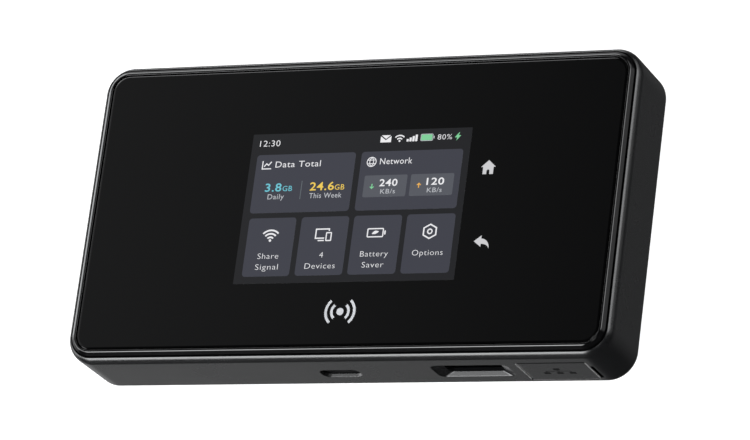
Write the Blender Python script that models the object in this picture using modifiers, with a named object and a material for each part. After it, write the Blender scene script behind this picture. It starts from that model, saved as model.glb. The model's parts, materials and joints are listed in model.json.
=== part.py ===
"""Mobile hotspot: a pocket router with a touchscreen, three ports, a removable back cover and battery.

It lies on its back: +Z is up through the screen, -Y is the edge with the ports, and the origin is
at the centre of the back face. Every size and place below is in millimetres, and the helpers turn
them into metres. Run it with blender --background --python part.py, or from the text editor.
"""

import math

import bmesh
import bpy
from mathutils import Matrix, Vector

MM = 0.001

# Driving dimensions of the case.
WIDTH = 132.0
DEPTH = 72.0
CORNER = 6.5
RIM_TOP = 17.9
GLASS_TOP = 19.15
WALL = 2.0
GAP = 0.3
FILM_GAP = 0.1
FRONT_ROUND = 3.2
BACK_ROUND = 1.7
CORNER_STEPS = 7

# The front, as insets from the outline and heights: the frame's lip, the glossy shell, whose ring
# slopes up from the lip to a crest around the glass, and the glass.
LIP = 1.1
SHELL_INSET = LIP + GAP
CREST_INSET, CREST_TOP = 2.3, 19.0
SEAT_INSET = 2.55
GLASS_INSET = SEAT_INSET + GAP
SHELF = 16.3
FLOOR_LOW = SHELF + GAP
FLOOR_TOP = 17.65
GLASS_LOW = 18.05
GLASS_ROUND = 0.3

# Heights of the layers, from the back to the front.
COVER_TOP = 1.3
DECK_LOW = COVER_TOP + GAP
DECK_TOP = 2.8
BATTERY_LOW = 1.7
BATTERY_TOP = 9.3
BAY_ROOF = 9.7
TUB_TOP = 10.7
BOARD_LOW = 11.9
BOARD_TOP = 12.7
SHIELD_TOP = 15.0
SOLDER = 0.2

# The display, seen through the glass, and the two touch icons beside it.
SCREEN_X, SCREEN_Y = 1.3, -0.5
PANEL_SIZE = (57.6, 41.0)
TRAY_SIZE = (60.2, 43.8)
TRAY_LOW = 14.65
PANEL_LOW = 16.7
PANEL_TOP = 17.8
GUIDE_X = (32.6, 35.0)
GUIDE_Y = (-12.0, 12.0)
ICON_Y = (8.0, -9.8)

# The ports on the near edge.
USB_C_X, USB_C_Z = -1.3, 7.8
USB_C_HOLE = (9.4, 4.4)
USB_C_SHELL = (8.9, 3.2)
USB_C_MOUTH = -35.0
USB_A_X, USB_A_Z = 30.7, 8.75
USB_A_RECESS = (17.3, 7.3)
USB_A_HOLE = (13.4, 5.4)
USB_A_SINK = 1.0
USB_A_SHELL = (13.2, 5.6)
USB_A_MOUTH = -33.7
FLAP_X = (42.3, 58.8)
FLAP_Z = (2.4, 13.5)
FLAP_GAP = 0.25
FLAP_THICK = 1.4
BARREL = 1.0
HINGE_PIN = 0.45
HINGE_X = FLAP_X[0] + FLAP_GAP + BARREL
HINGE_Y = -DEPTH / 2 + BARREL
LAN_X = 50.8
LAN_SIZE = (14.6, 14.5, 8.5)
LAN_FACE = -33.4
LAN_LOW = DECK_TOP + GAP

# The battery bay and the parts that are reached through it.
BAY_X = (-56.9, 38.9)
BAY_Y = (-17.4, 31.4)
BAY_WALL = 1.0
BATTERY_SLACK = 0.4
SIM_X, SIM_Y = 3.0, 11.9
SIM_CARD = (12.3, 8.8, 0.67)
SIM_WINDOW = ((2.0, 28.0), (5.6, 18.2))
RESET_X = -6.0
CONTACT_X = -30.0

# The power key on the far edge.
KEY_X, KEY_Z = 38.0, 13.6
KEY_SIZE = (11.0, 3.0)
KEY_PROUD = 0.25

# Six screws hold the tub to the bosses of the front shell.
SCREWS = [(-61.0, 29.5), (61.0, 29.5), (-61.0, -29.5), (61.0, -29.5), (-30.0, -26.5), (13.0, -26.5)]
SCREW_HEAD = 1.6
SCREW_SHANK = 0.8
BOSS = 2.0

# Snap tabs of the back cover: centre, and whether the tab runs along X.
TABS = [(-30, 1, True), (20, 1, True), (-45, -1, True), (14, -1, True), (1, 8, False), (-1, 8, False)]
TAB_LENGTH = 6.0
TAB_INSET = 2.6
TAB_THICK = 0.8
TAB_TOP = 4.0

parts = bpy.data.collections.new("mobile_hotspot")
cutters = bpy.data.collections.new("cutters")


# ---------------------------------------------------------------- modelling helpers


def clear_scene():
    for thing in list(bpy.data.objects):
        bpy.data.objects.remove(thing, do_unlink=True)


def finish(name, colour, roughness=0.5, metallic=0.0):
    """A Principled material."""
    material = bpy.data.materials.new(name)
    material.use_nodes = True
    shader = material.node_tree.nodes["Principled BSDF"]
    shader.inputs["Base Color"].default_value = (*colour, 1.0)
    shader.inputs["Roughness"].default_value = roughness
    shader.inputs["Metallic"].default_value = metallic
    material.diffuse_color = (*colour, 1.0)
    return material


def add_object(name, data):
    thing = bpy.data.objects.new(name, data)
    parts.objects.link(thing)
    return thing


def from_bmesh(name, shape):
    bmesh.ops.recalc_face_normals(shape, faces=shape.faces)
    mesh = bpy.data.meshes.new(name)
    shape.to_mesh(mesh)
    shape.free()
    return add_object(name, mesh)


def rounded(width, height, radius, cx=0.0, cy=0.0, steps=CORNER_STEPS):
    """The points of a rectangle with round corners, anticlockwise."""
    points = []
    for quarter, (sx, sy) in enumerate(((1, 1), (-1, 1), (-1, -1), (1, -1))):
        x = cx + sx * (width / 2 - radius)
        y = cy + sy * (height / 2 - radius)
        for step in range(steps + 1):
            angle = math.pi / 2 * (quarter + step / steps)
            points.append((x + radius * math.cos(angle), y + radius * math.sin(angle)))
    return points


def inset_outline(inset):
    """The case's outline, moved in by a distance."""
    return rounded(WIDTH - 2 * inset, DEPTH - 2 * inset, CORNER - inset)


def obround(size, cx, cy, steps=8):
    return rounded(size[0], size[1], size[1] / 2 - 0.01, cx, cy, steps)


def slab(name, outline, low, high):
    """A flat outline in X and Y, made thick between two heights."""
    curve = bpy.data.curves.new(name, "CURVE")
    curve.dimensions = "2D"
    curve.fill_mode = "BOTH"
    curve.extrude = (high - low) / 2 * MM
    spline = curve.splines.new("POLY")
    spline.points.add(len(outline) - 1)
    for point, (x, y) in zip(spline.points, outline):
        point.co = (x * MM, y * MM, 0, 1)
    spline.use_cyclic_u = True
    flat = add_object(name + "_outline", curve)
    flat.location.z = (low + high) / 2 * MM
    return as_mesh(flat, name)


def as_mesh(curve_object, name):
    """The curve as a closed mesh object, with its flat faces whole."""
    bpy.context.view_layer.update()
    graph = bpy.context.evaluated_depsgraph_get()
    mesh = bpy.data.meshes.new_from_object(curve_object.evaluated_get(graph))
    shape = bmesh.new()
    shape.from_mesh(mesh)
    shape.transform(curve_object.matrix_world)
    bmesh.ops.remove_doubles(shape, verts=shape.verts, dist=0.002 * MM)
    bmesh.ops.dissolve_limit(shape, angle_limit=math.radians(0.5), verts=shape.verts, edges=shape.edges)
    bpy.data.meshes.remove(mesh)
    bpy.data.objects.remove(curve_object)
    return from_bmesh(name, shape)


def upright(name, outline, near, far):
    """A flat outline in X and Z, made thick between two places along Y."""
    plate = slab(name, outline, -far, -near)
    plate.data.transform(Matrix.Rotation(math.radians(90), 4, "X"))
    return plate


def box(name, x, y, z):
    shape = bmesh.new()
    bmesh.ops.create_cube(shape, size=1.0)
    size = Vector((x[1] - x[0], y[1] - y[0], z[1] - z[0])) * MM
    centre = Vector((x[1] + x[0], y[1] + y[0], z[1] + z[0])) * MM / 2
    shape.transform(Matrix.Translation(centre) @ Matrix.Diagonal((*size, 1.0)))
    return from_bmesh(name, shape)


def block(name, centre, size, z):
    """A box from its centre and size in X and Y, and its two heights."""
    x = (centre[0] - size[0] / 2, centre[0] + size[0] / 2)
    y = (centre[1] - size[1] / 2, centre[1] + size[1] / 2)
    return box(name, x, y, z)


def post(name, radius, x, y, z, sides=20):
    """A round post along Z."""
    shape = bmesh.new()
    bmesh.ops.create_cone(
        shape,
        cap_ends=True,
        segments=sides,
        radius1=radius * MM,
        radius2=radius * MM,
        depth=(z[1] - z[0]) * MM,
    )
    shape.transform(Matrix.Translation(Vector((x, y, (z[0] + z[1]) / 2)) * MM))
    return from_bmesh(name, shape)


def loft(name, levels):
    """A closed solid through outlines with the same number of points, each at its own height."""
    shape = bmesh.new()
    rings = []
    for outline, height in levels:
        rings.append([shape.verts.new((x * MM, y * MM, height * MM)) for x, y in outline])
    shape.faces.new(rings[0])
    shape.faces.new(rings[-1])
    for low, high in zip(rings, rings[1:]):
        for i in range(len(low)):
            j = (i + 1) % len(low)
            shape.faces.new((low[i], low[j], high[j], high[i]))
    return from_bmesh(name, shape)


def soften(thing, chosen, radius, steps=2):
    """Bevels the edges whose two ends are both chosen."""
    shape = bmesh.new()
    shape.from_mesh(thing.data)
    edges = [e for e in shape.edges if all(chosen(v.co / MM) for v in e.verts)]
    bmesh.ops.bevel(
        shape,
        geom=edges,
        offset=radius * MM,
        offset_type="OFFSET",
        segments=steps,
        profile=0.5,
        affect="EDGES",
        clamp_overlap=True,
    )
    bmesh.ops.remove_doubles(shape, verts=shape.verts, dist=0.001 * MM)
    shape.to_mesh(thing.data)
    shape.free()
    return thing


def at_height(height):
    return lambda point: abs(point.z - height) < 0.01


def at_depth(depth):
    return lambda point: abs(point.y - depth) < 0.01


def combine(thing, tools, operation):
    """Adds one Boolean for each tool, and puts the tools away with the cutters."""
    for tool in tools:
        modifier = thing.modifiers.new(tool.name, "BOOLEAN")
        modifier.operation = operation
        modifier.solver = "EXACT"
        modifier.object = tool
        tool.parent = thing
        tool.hide_render = True
        tool.display_type = "WIRE"
        parts.objects.unlink(tool)
        cutters.objects.link(tool)
    return thing


def cut(thing, *tools):
    return combine(thing, tools, "DIFFERENCE")


def join(thing, *tools):
    return combine(thing, tools, "UNION")


def done(thing, material):
    """Gives the piece its material and shades its round faces smooth."""
    thing.data.materials.clear()
    thing.data.materials.append(material)
    thing.data.shade_smooth()
    thing.data.set_sharp_from_angle(angle=math.radians(30))
    return thing


# ---------------------------------------------------------------- the case


def side_frame(material):
    """The matte band: a round-cornered tube with the ports, the key's hole and the flap's seat."""
    top = RIM_TOP - FRONT_ROUND * math.sin(math.acos(1 - LIP / FRONT_ROUND)) + FRONT_ROUND
    frame = slab("side_frame", inset_outline(0), 0, top)
    soften(frame, at_height(top), FRONT_ROUND, 8)
    soften(frame, at_height(0), BACK_ROUND, 4)
    edge = -DEPTH / 2
    cut(
        frame,
        slab("cavity", inset_outline(WALL), -1, SHELF + 1),
        slab("front_pocket", inset_outline(LIP), SHELF, top + 1),
        upright("usb_c_hole", obround(USB_C_HOLE, USB_C_X, USB_C_Z), edge - 1, edge + WALL + 1),
        upright("usb_a_hole", rounded(*USB_A_HOLE, 0.7, USB_A_X, USB_A_Z, 3), edge + 0.5, edge + WALL + 1),
        usb_a_recess(edge),
        box("flap_hole", FLAP_X, (edge - 1, edge + WALL + 1), FLAP_Z),
        box("nail_notch", (FLAP_X[1] - 0.5, FLAP_X[1] + 0.95), (edge - 1, edge + 1.0), (3.1, 12.8)),
        post("pin_hole", HINGE_PIN + 0.2, HINGE_X, HINGE_Y, (1.2, 14.8), 12),
        upright(
            "key_hole",
            obround((KEY_SIZE[0] + 2 * GAP, KEY_SIZE[1] + 2 * GAP), KEY_X, KEY_Z),
            -edge - WALL - 1,
            -edge + 1,
        ),
        post("pry_notch", 4.0, -WIDTH / 2 + 0.4, 0, (-1, 0.9), 24),
    )
    return done(frame, material)


def usb_a_recess(edge):
    """The chamfered sink around the wide port, begun outside the wall's face so that the cut is clean."""
    over = 0.2
    grow = over / USB_A_SINK
    wide = [big + grow * (big - small) for big, small in zip(USB_A_RECESS, USB_A_HOLE)]
    outer = rounded(*wide, 1.3, USB_A_X, USB_A_Z, 4)
    inner = rounded(*USB_A_HOLE, 0.7, USB_A_X, USB_A_Z, 4)
    sink = loft("usb_a_recess", [(inner, -edge - USB_A_SINK), (outer, -edge + over)])
    sink.data.transform(Matrix.Rotation(math.radians(90), 4, "X"))
    return sink


def front_shell(material):
    """The glossy shell: a ring around the glass, a floor with the display's window, and six bosses."""
    foot = inset_outline(SHELL_INSET)
    crest = inset_outline(CREST_INSET)
    shell = loft("front_shell", [(foot, FLOOR_LOW), (foot, RIM_TOP), (crest, CREST_TOP)])
    cut(shell, slab("glass_seat", inset_outline(SEAT_INSET), FLOOR_TOP, CREST_TOP + 1))
    around = (TRAY_SIZE[0] + 3.2, TRAY_SIZE[1] + 3.2)
    rib = slab("rib", rounded(*around, 1.5, SCREEN_X, SCREEN_Y, 3), TRAY_LOW + 0.5, FLOOR_LOW + GAP)
    bosses = [post("boss", BOSS, x, y, (4.9, FLOOR_TOP - 0.4)) for x, y in SCREWS]
    join(shell, rib, *bosses)
    seat = (TRAY_SIZE[0] + 0.8, TRAY_SIZE[1] + 0.8)
    window = (PANEL_SIZE[0] + 0.6, PANEL_SIZE[1] + 0.6)
    guide_x = (GUIDE_X[0] - GAP, GUIDE_X[1] + GAP)
    guide_y = (GUIDE_Y[0] - GAP, GUIDE_Y[1] + GAP)
    cut(
        shell,
        slab("tray_seat", rounded(*seat, 0.8, SCREEN_X, SCREEN_Y, 3), TRAY_LOW - 1, FLOOR_LOW),
        slab("window", rounded(*window, 0.6, SCREEN_X, SCREEN_Y, 3), TRAY_LOW - 1, FLOOR_TOP + 1),
        block("flex_notch", (1.0, -23.5), (17.0, 4.0), (TRAY_LOW - 1, FLOOR_LOW)),
        box("guide_slot", guide_x, guide_y, (TRAY_LOW - 1, FLOOR_TOP + 1)),
        *[post("pilot", SCREW_SHANK + 0.2, x, y, (4, 9.5), 12) for x, y in SCREWS],
    )
    return done(shell, material)


def cover_glass(material):
    glass = slab("cover_glass", inset_outline(GLASS_INSET), GLASS_LOW, GLASS_TOP)
    soften(glass, at_height(GLASS_TOP), GLASS_ROUND, 3)
    return done(glass, material)


def glass_adhesive(material):
    """The frame of double-sided tape between the glass and the shell's floor."""
    low, high = FLOOR_TOP + FILM_GAP, GLASS_LOW - FILM_GAP
    tape = slab("glass_adhesive", inset_outline(GLASS_INSET + 0.4), low, high)
    cut(tape, slab("tape_window", rounded(112.0, 58.0, 2.0), low - 1, high + 1))
    return done(tape, material)


def back_cover(material, joint):
    """The battery door: a plate with six snap tabs, which lifts straight off the back."""
    cover = slab("back_cover", inset_outline(WALL + GAP), 0, COVER_TOP)
    soften(cover, at_height(0), 0.3, 2)
    tabs = [tab("tab", place, TAB_THICK, TAB_LENGTH, (COVER_TOP - 0.5, TAB_TOP)) for place in TABS]
    join(cover, *tabs)
    done(cover, material)
    return joined_to(cover, joint)


def tab(name, place, thick, length, z, spread=0.0):
    """One snap tab, or the slot for it, just inside the frame's wall. spread widens it all round."""
    first, second, along_x = place
    if along_x:
        middle = second * (DEPTH / 2 - TAB_INSET - TAB_THICK / 2)
        return block(name, (first, middle), (length + spread, thick + spread), z)
    middle = first * (WIDTH / 2 - TAB_INSET - TAB_THICK / 2)
    return block(name, (middle, second), (thick + spread, length + spread), z)


def rear_tub(material):
    """The inner chassis: a deck with the battery bay hanging in it, and bosses for the screws."""
    tub = slab("rear_tub", inset_outline(WALL + GAP), DECK_LOW, DECK_TOP)
    outer_x = (BAY_X[0] - BAY_WALL, BAY_X[1] + BAY_WALL)
    outer_y = (BAY_Y[0] - BAY_WALL, BAY_Y[1] + BAY_WALL)
    bosses = [post("boss", SCREW_HEAD + 1.0, x, y, (DECK_LOW + 0.3, 4.6)) for x, y in SCREWS]
    join(tub, box("bay_walls", outer_x, outer_y, (DECK_LOW, TUB_TOP)), *bosses)
    slots = [tab("slot", place, TAB_THICK, TAB_LENGTH, (0, 6), 0.8) for place in TABS]
    cut(
        tub,
        box("bay", BAY_X, BAY_Y, (0, BAY_ROOF)),
        box("sim_window", *SIM_WINDOW, (BAY_ROOF - 1, TUB_TOP + 1)),
        post("reset_hole", 1.2, RESET_X, SIM_Y, (BAY_ROOF - 1, TUB_TOP + 1), 16),
        block("contact_slot", (CONTACT_X, BAY_Y[0]), (11.0, 4.0), (3.2, 8.8)),
        *slots,
        *[post("head_seat", SCREW_HEAD + GAP, x, y, (0, 3.4)) for x, y in SCREWS],
        *[post("shank_hole", SCREW_SHANK + GAP, x, y, (3, 6), 12) for x, y in SCREWS],
    )
    return done(tub, material)


def screws(material):
    for number, (x, y) in enumerate(SCREWS, 1):
        screw = post(f"screw_{number}", SCREW_HEAD, x, y, (1.9, 3.1), 20)
        join(screw, post("shank", SCREW_SHANK, x, y, (2.8, 8.6), 10))
        cut(
            screw,
            block("slot_a", (x, y), (1.7, 0.45), (1.5, 2.4)),
            block("slot_b", (x, y), (0.45, 1.7), (1.5, 2.4)),
        )
        done(screw, material)


# ---------------------------------------------------------------- the port flap and the keys


def lan_flap(material, joint):
    """The door over the network port. Its left edge is a barrel on the hinge pin."""
    low, high = FLAP_Z[0] + FLAP_GAP, FLAP_Z[1] - FLAP_GAP
    face = -DEPTH / 2
    flap = box("lan_flap", (HINGE_X, FLAP_X[1] - FLAP_GAP), (face, face + FLAP_THICK), (low, high))
    join(flap, post("barrel", BARREL, HINGE_X, HINGE_Y, (low, high), 32))
    lug_x = (FLAP_X[1] - 5.0, FLAP_X[1] - 1.2)
    join(flap, box("latch_lug", lug_x, (face + 1, face + FLAP_THICK + 0.5), (6.0, 10.0)))
    cut(flap, post("bore", HINGE_PIN + 0.2, HINGE_X, HINGE_Y, (low - 1, high + 1), 12))
    done(flap, material)
    return joined_to(flap, joint)


def hinge_pin(material):
    pin = post("flap_hinge_pin", HINGE_PIN, HINGE_X, HINGE_Y, (1.5, 14.5), 12)
    return done(pin, material)


def power_key(material, joint):
    """The key on the far edge, with the flange that keeps it in and the post that works the switch."""
    edge = DEPTH / 2
    inner = edge - WALL - GAP
    key = upright("power_key", obround(KEY_SIZE, KEY_X, KEY_Z), inner - 0.7, edge + KEY_PROUD)
    soften(key, at_depth(edge + KEY_PROUD), 0.3, 2)
    flange = upright("flange", rounded(13.6, 3.5, 0.5, KEY_X, KEY_Z, 3), inner - 0.7, inner)
    join(key, flange)
    done(key, material)
    return joined_to(key, joint)


def power_switch(body_material, plunger_material, joint):
    """The side-acting switch on the board's far edge. Its plunger moves with the key."""
    switch = block("power_switch", (KEY_X, 30.4), (6.0, 3.0), (BOARD_TOP + SOLDER, 14.6))
    cut(switch, block("well", (KEY_X, 31.4), (3.0, 2.0), (13.1, 14.1)))
    done(switch, body_material)
    plunger = block("power_switch_plunger", (KEY_X, 31.9), (2.4, 1.7), (13.3, 13.9))
    done(plunger, plunger_material)
    joined_to(plunger, joint)


def reset_switch(body_material, plunger_material, joint):
    """The switch behind the hole in the bay's roof, worked with a pin."""
    switch = block("reset_switch", (RESET_X, SIM_Y), (3.4, 3.4), (10.95, BOARD_LOW - SOLDER))
    cut(switch, post("well", 0.85, RESET_X, SIM_Y, (10, 13), 16))
    done(switch, body_material)
    plunger = post("reset_plunger", 0.6, RESET_X, SIM_Y, (10.5, 11.3), 16)
    done(plunger, plunger_material)
    joined_to(plunger, joint)


# ---------------------------------------------------------------- display


def display(panel_material, tray_material, flex_material):
    panel = slab(
        "lcd_panel", rounded(*PANEL_SIZE, 0.3, SCREEN_X, SCREEN_Y, 2), PANEL_LOW, PANEL_TOP
    )
    done(panel, panel_material)
    tray = slab("lcd_backlight", rounded(*TRAY_SIZE, 0.6, SCREEN_X, SCREEN_Y, 3), TRAY_LOW, FLOOR_LOW - GAP)
    done(tray, tray_material)
    flex = ribbon("lcd_flex", -6.0, 8.0)
    done(flex, flex_material)
    plug = block("lcd_connector", (1.0, -12.0), (12.0, 3.0), (BOARD_TOP + SOLDER, 13.2))
    done(plug, tray_material)


def ribbon(name, left, right):
    """The display's flat cable: it leaves the tray's edge, turns under it and ends over its connector."""
    turn_y, turn_z, reach = SCREEN_Y - TRAY_SIZE[1] / 2 + 0.1, 14.7, 1.2
    bend = [math.radians(angle) for angle in range(120, 271, 25)]
    path = [(turn_y + reach * math.cos(a), turn_z + reach * math.sin(a)) for a in bend]
    path.append((-10.6, turn_z - reach))
    shape = bmesh.new()
    first = [shape.verts.new((left * MM, y * MM, z * MM)) for y, z in path]
    edges = [shape.edges.new(pair) for pair in zip(first, first[1:])]
    swept = bmesh.ops.extrude_edge_only(shape, edges=edges)["geom"]
    moved = [v for v in swept if isinstance(v, bmesh.types.BMVert)]
    bmesh.ops.translate(shape, verts=moved, vec=((right - left) * MM, 0, 0))
    strip = from_bmesh(name, shape)
    thicken = strip.modifiers.new("thickness", "SOLIDIFY")
    thicken.thickness = 0.15 * MM
    thicken.offset = 0
    return strip


def icon_lights(guide_material, led_material):
    """The guide behind the two touch icons, and the lamp under each of them."""
    guide = box("icon_light_guide", GUIDE_X, GUIDE_Y, (13.4, FLOOR_TOP))
    done(guide, guide_material)
    middle = sum(GUIDE_X) / 2
    for name, y in zip(("home_led", "back_led"), ICON_Y):
        done(block(name, (middle, y), (1.6, 0.8), (BOARD_TOP + SOLDER, 13.2)), led_material)


# ---------------------------------------------------------------- board and what is on it


def main_board(material):
    board = slab("main_board", rounded(125.0, 65.0, 3.0), BOARD_LOW, BOARD_TOP)
    cut(board, *[post("boss_hole", BOSS + 0.5, x, y, (BOARD_LOW - 1, BOARD_TOP + 1)) for x, y in SCREWS])
    return done(board, material)


def shield_can(name, x, y, material):
    """A soldered shield: a thin box with no floor."""
    middle = (x[0] + x[1]) / 2, (y[0] + y[1]) / 2
    size = x[1] - x[0], y[1] - y[0]
    low, high = BOARD_TOP + SOLDER, SHIELD_TOP
    can = slab(name, rounded(*size, 0.8, *middle, 3), low, high)
    soften(can, at_height(high), 0.25, 1)
    cut(can, slab("room", rounded(size[0] - 0.5, size[1] - 0.5, 0.55, *middle, 3), low - 1, high - 0.25))
    return done(can, material)


def chip(name, centre, size, material):
    return done(block(name, centre, (size, size), (BOARD_TOP + SOLDER, 14.4)), material)


def usb_c(shell_material, tongue_material, riser_material):
    mouth, back = USB_C_MOUTH, USB_C_MOUTH + 7.4
    shell = upright("usb_c_shell", obround(USB_C_SHELL, USB_C_X, USB_C_Z), mouth, back)
    room = (USB_C_SHELL[0] - 0.6, USB_C_SHELL[1] - 0.6)
    cut(shell, upright("room", obround(room, USB_C_X, USB_C_Z), mouth - 1, back - 0.5))
    done(shell, shell_material)
    tongue_z = (USB_C_Z - 0.35, USB_C_Z + 0.35)
    tongue = block("usb_c_tongue", (USB_C_X, mouth + 3.6), (6.7, 5.6), tongue_z)
    base = block("base", (USB_C_X, back - 1.3), (7.0, 1.0), (USB_C_Z - 1.0, USB_C_Z + 1.0))
    done(join(tongue, base), tongue_material)
    riser_z = (USB_C_Z + USB_C_SHELL[1] / 2 + SOLDER, BOARD_LOW - SOLDER)
    riser = block("usb_c_riser", (USB_C_X, mouth + 4.6), (9.0, 5.0), riser_z)
    done(riser, riser_material)


def usb_a(shell_material, tongue_material):
    mouth, back = USB_A_MOUTH, USB_A_MOUTH + 14.0
    shell = upright("usb_a_shell", rounded(*USB_A_SHELL, 0.7, USB_A_X, USB_A_Z, 3), mouth, back)
    room = rounded(USB_A_SHELL[0] - 0.6, USB_A_SHELL[1] - 0.6, 0.4, USB_A_X, USB_A_Z, 3)
    cut(shell, upright("room", room, mouth - 1, back - 0.6))
    done(shell, shell_material)
    tongue = block("usb_a_tongue", (USB_A_X, mouth + 7.4), (11.2, 10.8), (USB_A_Z + 0.1, USB_A_Z + 1.9))
    base = block("base", (USB_A_X, back - 1.6), (11.8, 1.4), (USB_A_Z - 2.1, USB_A_Z + 2.1))
    done(join(tongue, base), tongue_material)


def lan_jack(body_material, contact_material):
    """The network jack: its plug room has a step for the latch on the side of the back cover."""
    width, depth, height = LAN_SIZE
    x = (LAN_X - width / 2, LAN_X + width / 2)
    top = LAN_LOW + height
    jack = box("lan_jack", x, (LAN_FACE, LAN_FACE + depth), (LAN_LOW, top))
    room_y = (LAN_FACE - 1, LAN_FACE + 12.0)
    cut(
        jack,
        block("plug_room", (LAN_X, sum(room_y) / 2), (11.9, room_y[1] - room_y[0]), (4.1, top - 0.7)),
        block("latch_room", (LAN_X, sum(room_y) / 2), (6.2, room_y[1] - room_y[0]), (3.6, 4.5)),
    )
    done(jack, body_material)
    comb = block("lan_contacts", (LAN_X, LAN_FACE + 10.6), (9.4, 0.6), (9.3, 10.6))
    pitch = 1.02
    wires = []
    for number in range(8):
        wire_x = LAN_X + (number - 3.5) * pitch
        wires.append(block("wire", (wire_x, LAN_FACE + 6.9), (0.4, 7.2), (9.5, 9.85)))
    done(join(comb, *wires), contact_material)


def lan_magnetics(material):
    return done(box("lan_magnetics", (44.5, 57.5), (-17.5, -8.5), (7.4, BOARD_LOW - SOLDER)), material)


def sim_reader(shell_material, card_material, joint):
    """The card holder under the board, open towards +X, and the card in it."""
    shell_y = (SIM_Y - 5.3, SIM_Y + 5.3)
    holder = box("sim_holder", (SIM_X, SIM_X + 12.5), shell_y, (10.2, BOARD_LOW - SOLDER))
    cut(holder, block("room", (SIM_X + 7.2, SIM_Y), (12.4, 9.4), (10.42, 11.48)))
    done(holder, shell_material)
    long, wide, thick = SIM_CARD
    left, near = SIM_X + 1.5, SIM_Y - wide / 2
    notch = 1.65
    outline = [
        (left, near),
        (left + long, near),
        (left + long, near + wide - notch),
        (left + long - notch, near + wide),
        (left, near + wide),
    ]
    card = slab("sim_card", outline, 10.6, 10.6 + thick)
    done(card, card_material)
    joined_to(card, joint)


# ---------------------------------------------------------------- battery


def battery(wrap_material, terminal_material, joint):
    x = (BAY_X[0] + BATTERY_SLACK, BAY_X[1] - BATTERY_SLACK)
    y = (BAY_Y[0] + BATTERY_SLACK, BAY_Y[1] - BATTERY_SLACK)
    middle = (x[0] + x[1]) / 2, (y[0] + y[1]) / 2
    pack = slab(
        "battery_pack",
        rounded(x[1] - x[0], y[1] - y[0], 2.0, *middle, 4),
        BATTERY_LOW,
        BATTERY_TOP,
    )
    soften(pack, at_height(BATTERY_TOP), 0.7, 2)
    soften(pack, at_height(BATTERY_LOW), 0.7, 2)
    cut(pack, block("terminal_seat", (CONTACT_X, y[0]), (10.0, 2.4), (4.0, 8.0)))
    done(pack, wrap_material)
    joined_to(pack, joint)
    plate = block("battery_terminals", (CONTACT_X, y[0] + 0.65), (9.4, 0.5), (4.3, 7.7))
    done(plate, terminal_material)
    joined_to(plate, joint)


def battery_connector(body_material, blade_material):
    """The block on the board whose blades reach the pack's terminals through the bay's wall."""
    body = block("battery_connector", (CONTACT_X, -20.7), (10.0, 3.4), (3.5, BOARD_LOW - SOLDER))
    join(body, block("nose", (CONTACT_X, -18.9), (9.6, 2.0), (3.7, 8.3)))
    done(body, body_material)
    blades = block("battery_contacts", (CONTACT_X, -17.65), (8.6, 0.25), (7.3, 7.9))
    pitch = 2.3
    fingers = []
    for number in range(4):
        x = CONTACT_X + (number - 1.5) * pitch
        fingers.append(block("finger", (x, -17.65), (1.1, 0.25), (4.5, 7.6)))
    done(join(blades, *fingers), blade_material)


# ---------------------------------------------------------------- antennas and cooling


def antennas(material):
    """Printed antennas on the inside of the walls: each a thin strip with two slots."""
    wall_x = WIDTH / 2 - WALL - GAP
    for name, side, y in (("antenna_left", -1, (-24, 24)), ("antenna_right", 1, (-14, 26))):
        x = sorted((side * wall_x, side * (wall_x - 0.3)))
        strip = box(name, x, y, (5.2, 14.6))
        cut(
            strip,
            box("slot_low", (x[0] - 1, x[1] + 1), (y[0] + 4, y[1] + 1), (7.6, 8.4)),
            box("slot_high", (x[0] - 1, x[1] + 1), (y[0] - 1, y[1] - 8), (10.6, 11.4)),
        )
        done(strip, material)
    wall_y = DEPTH / 2 - WALL - GAP
    strip = box("antenna_top", (-40, 12), (wall_y - 0.3, wall_y), (4.6, 10.4))
    cut(strip, box("slot", (-34, 13), (wall_y - 1, wall_y + 1), (7.0, 7.8)))
    done(strip, material)


def coax_lead(name, side, start, material):
    """A thin aerial lead, from beside a shield to the antenna on the wall on one side."""
    steps = [(59.0, 0.0, 13.4), (60.0, 2.6, 13.7), (61.3, 5.6, 13.8), (62.3, 8.8, 13.7), (62.6, 11.5, 13.6)]
    route = smooth([(side * x, start + y, z) for x, y, z in steps], 4)
    curve = bpy.data.curves.new(name, "CURVE")
    curve.dimensions = "3D"
    curve.bevel_depth = 0.4 * MM
    curve.bevel_resolution = 2
    curve.use_fill_caps = True
    spline = curve.splines.new("POLY")
    spline.points.add(len(route) - 1)
    for point, place in zip(spline.points, route):
        point.co = (*[v * MM for v in place], 1)
    return done_curve(add_object(name, curve), material)


def smooth(points, steps):
    """Points along a Catmull-Rom curve through the given ones."""
    places = [Vector(p) for p in points]
    places = [2 * places[0] - places[1], *places, 2 * places[-1] - places[-2]]
    route = []
    for a, b, c, d in zip(places, places[1:], places[2:], places[3:]):
        for step in range(steps):
            t = step / steps
            linear = (c - a) * t
            square = (2 * a - 5 * b + 4 * c - d) * t**2
            cube = (3 * b - a - 3 * c + d) * t**3
            route.append((2 * b + linear + square + cube) / 2)
    return [*route, places[-2]]


def done_curve(thing, material):
    thing.data.materials.append(material)
    return thing


def cooling(pad_material, plate_material):
    pad = block("thermal_pad", (-45.0, 2.0), (18.0, 18.0), (SHIELD_TOP + FILM_GAP, 15.6))
    done(pad, pad_material)
    plate = slab("heat_spreader", rounded(27.0, 52.0, 2.0, -46.0, 2.0, 3), 15.7, 16.3)
    done(plate, plate_material)


# ---------------------------------------------------------------- joints


def joint_at(name, place):
    """An empty on a joint's axis. What moves with the joint is its child."""
    empty = add_object(name, None)
    empty.empty_display_size = 5 * MM
    empty.location = Vector(place) * MM
    return empty


def joined_to(thing, joint):
    """Gives the piece its origin at the joint, and parents it there."""
    place = joint.location.copy()
    thing.data.transform(Matrix.Translation(-place))
    for tool in thing.children:
        tool.location -= place
    thing.parent = joint
    return thing


# ---------------------------------------------------------------- the assembly


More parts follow.
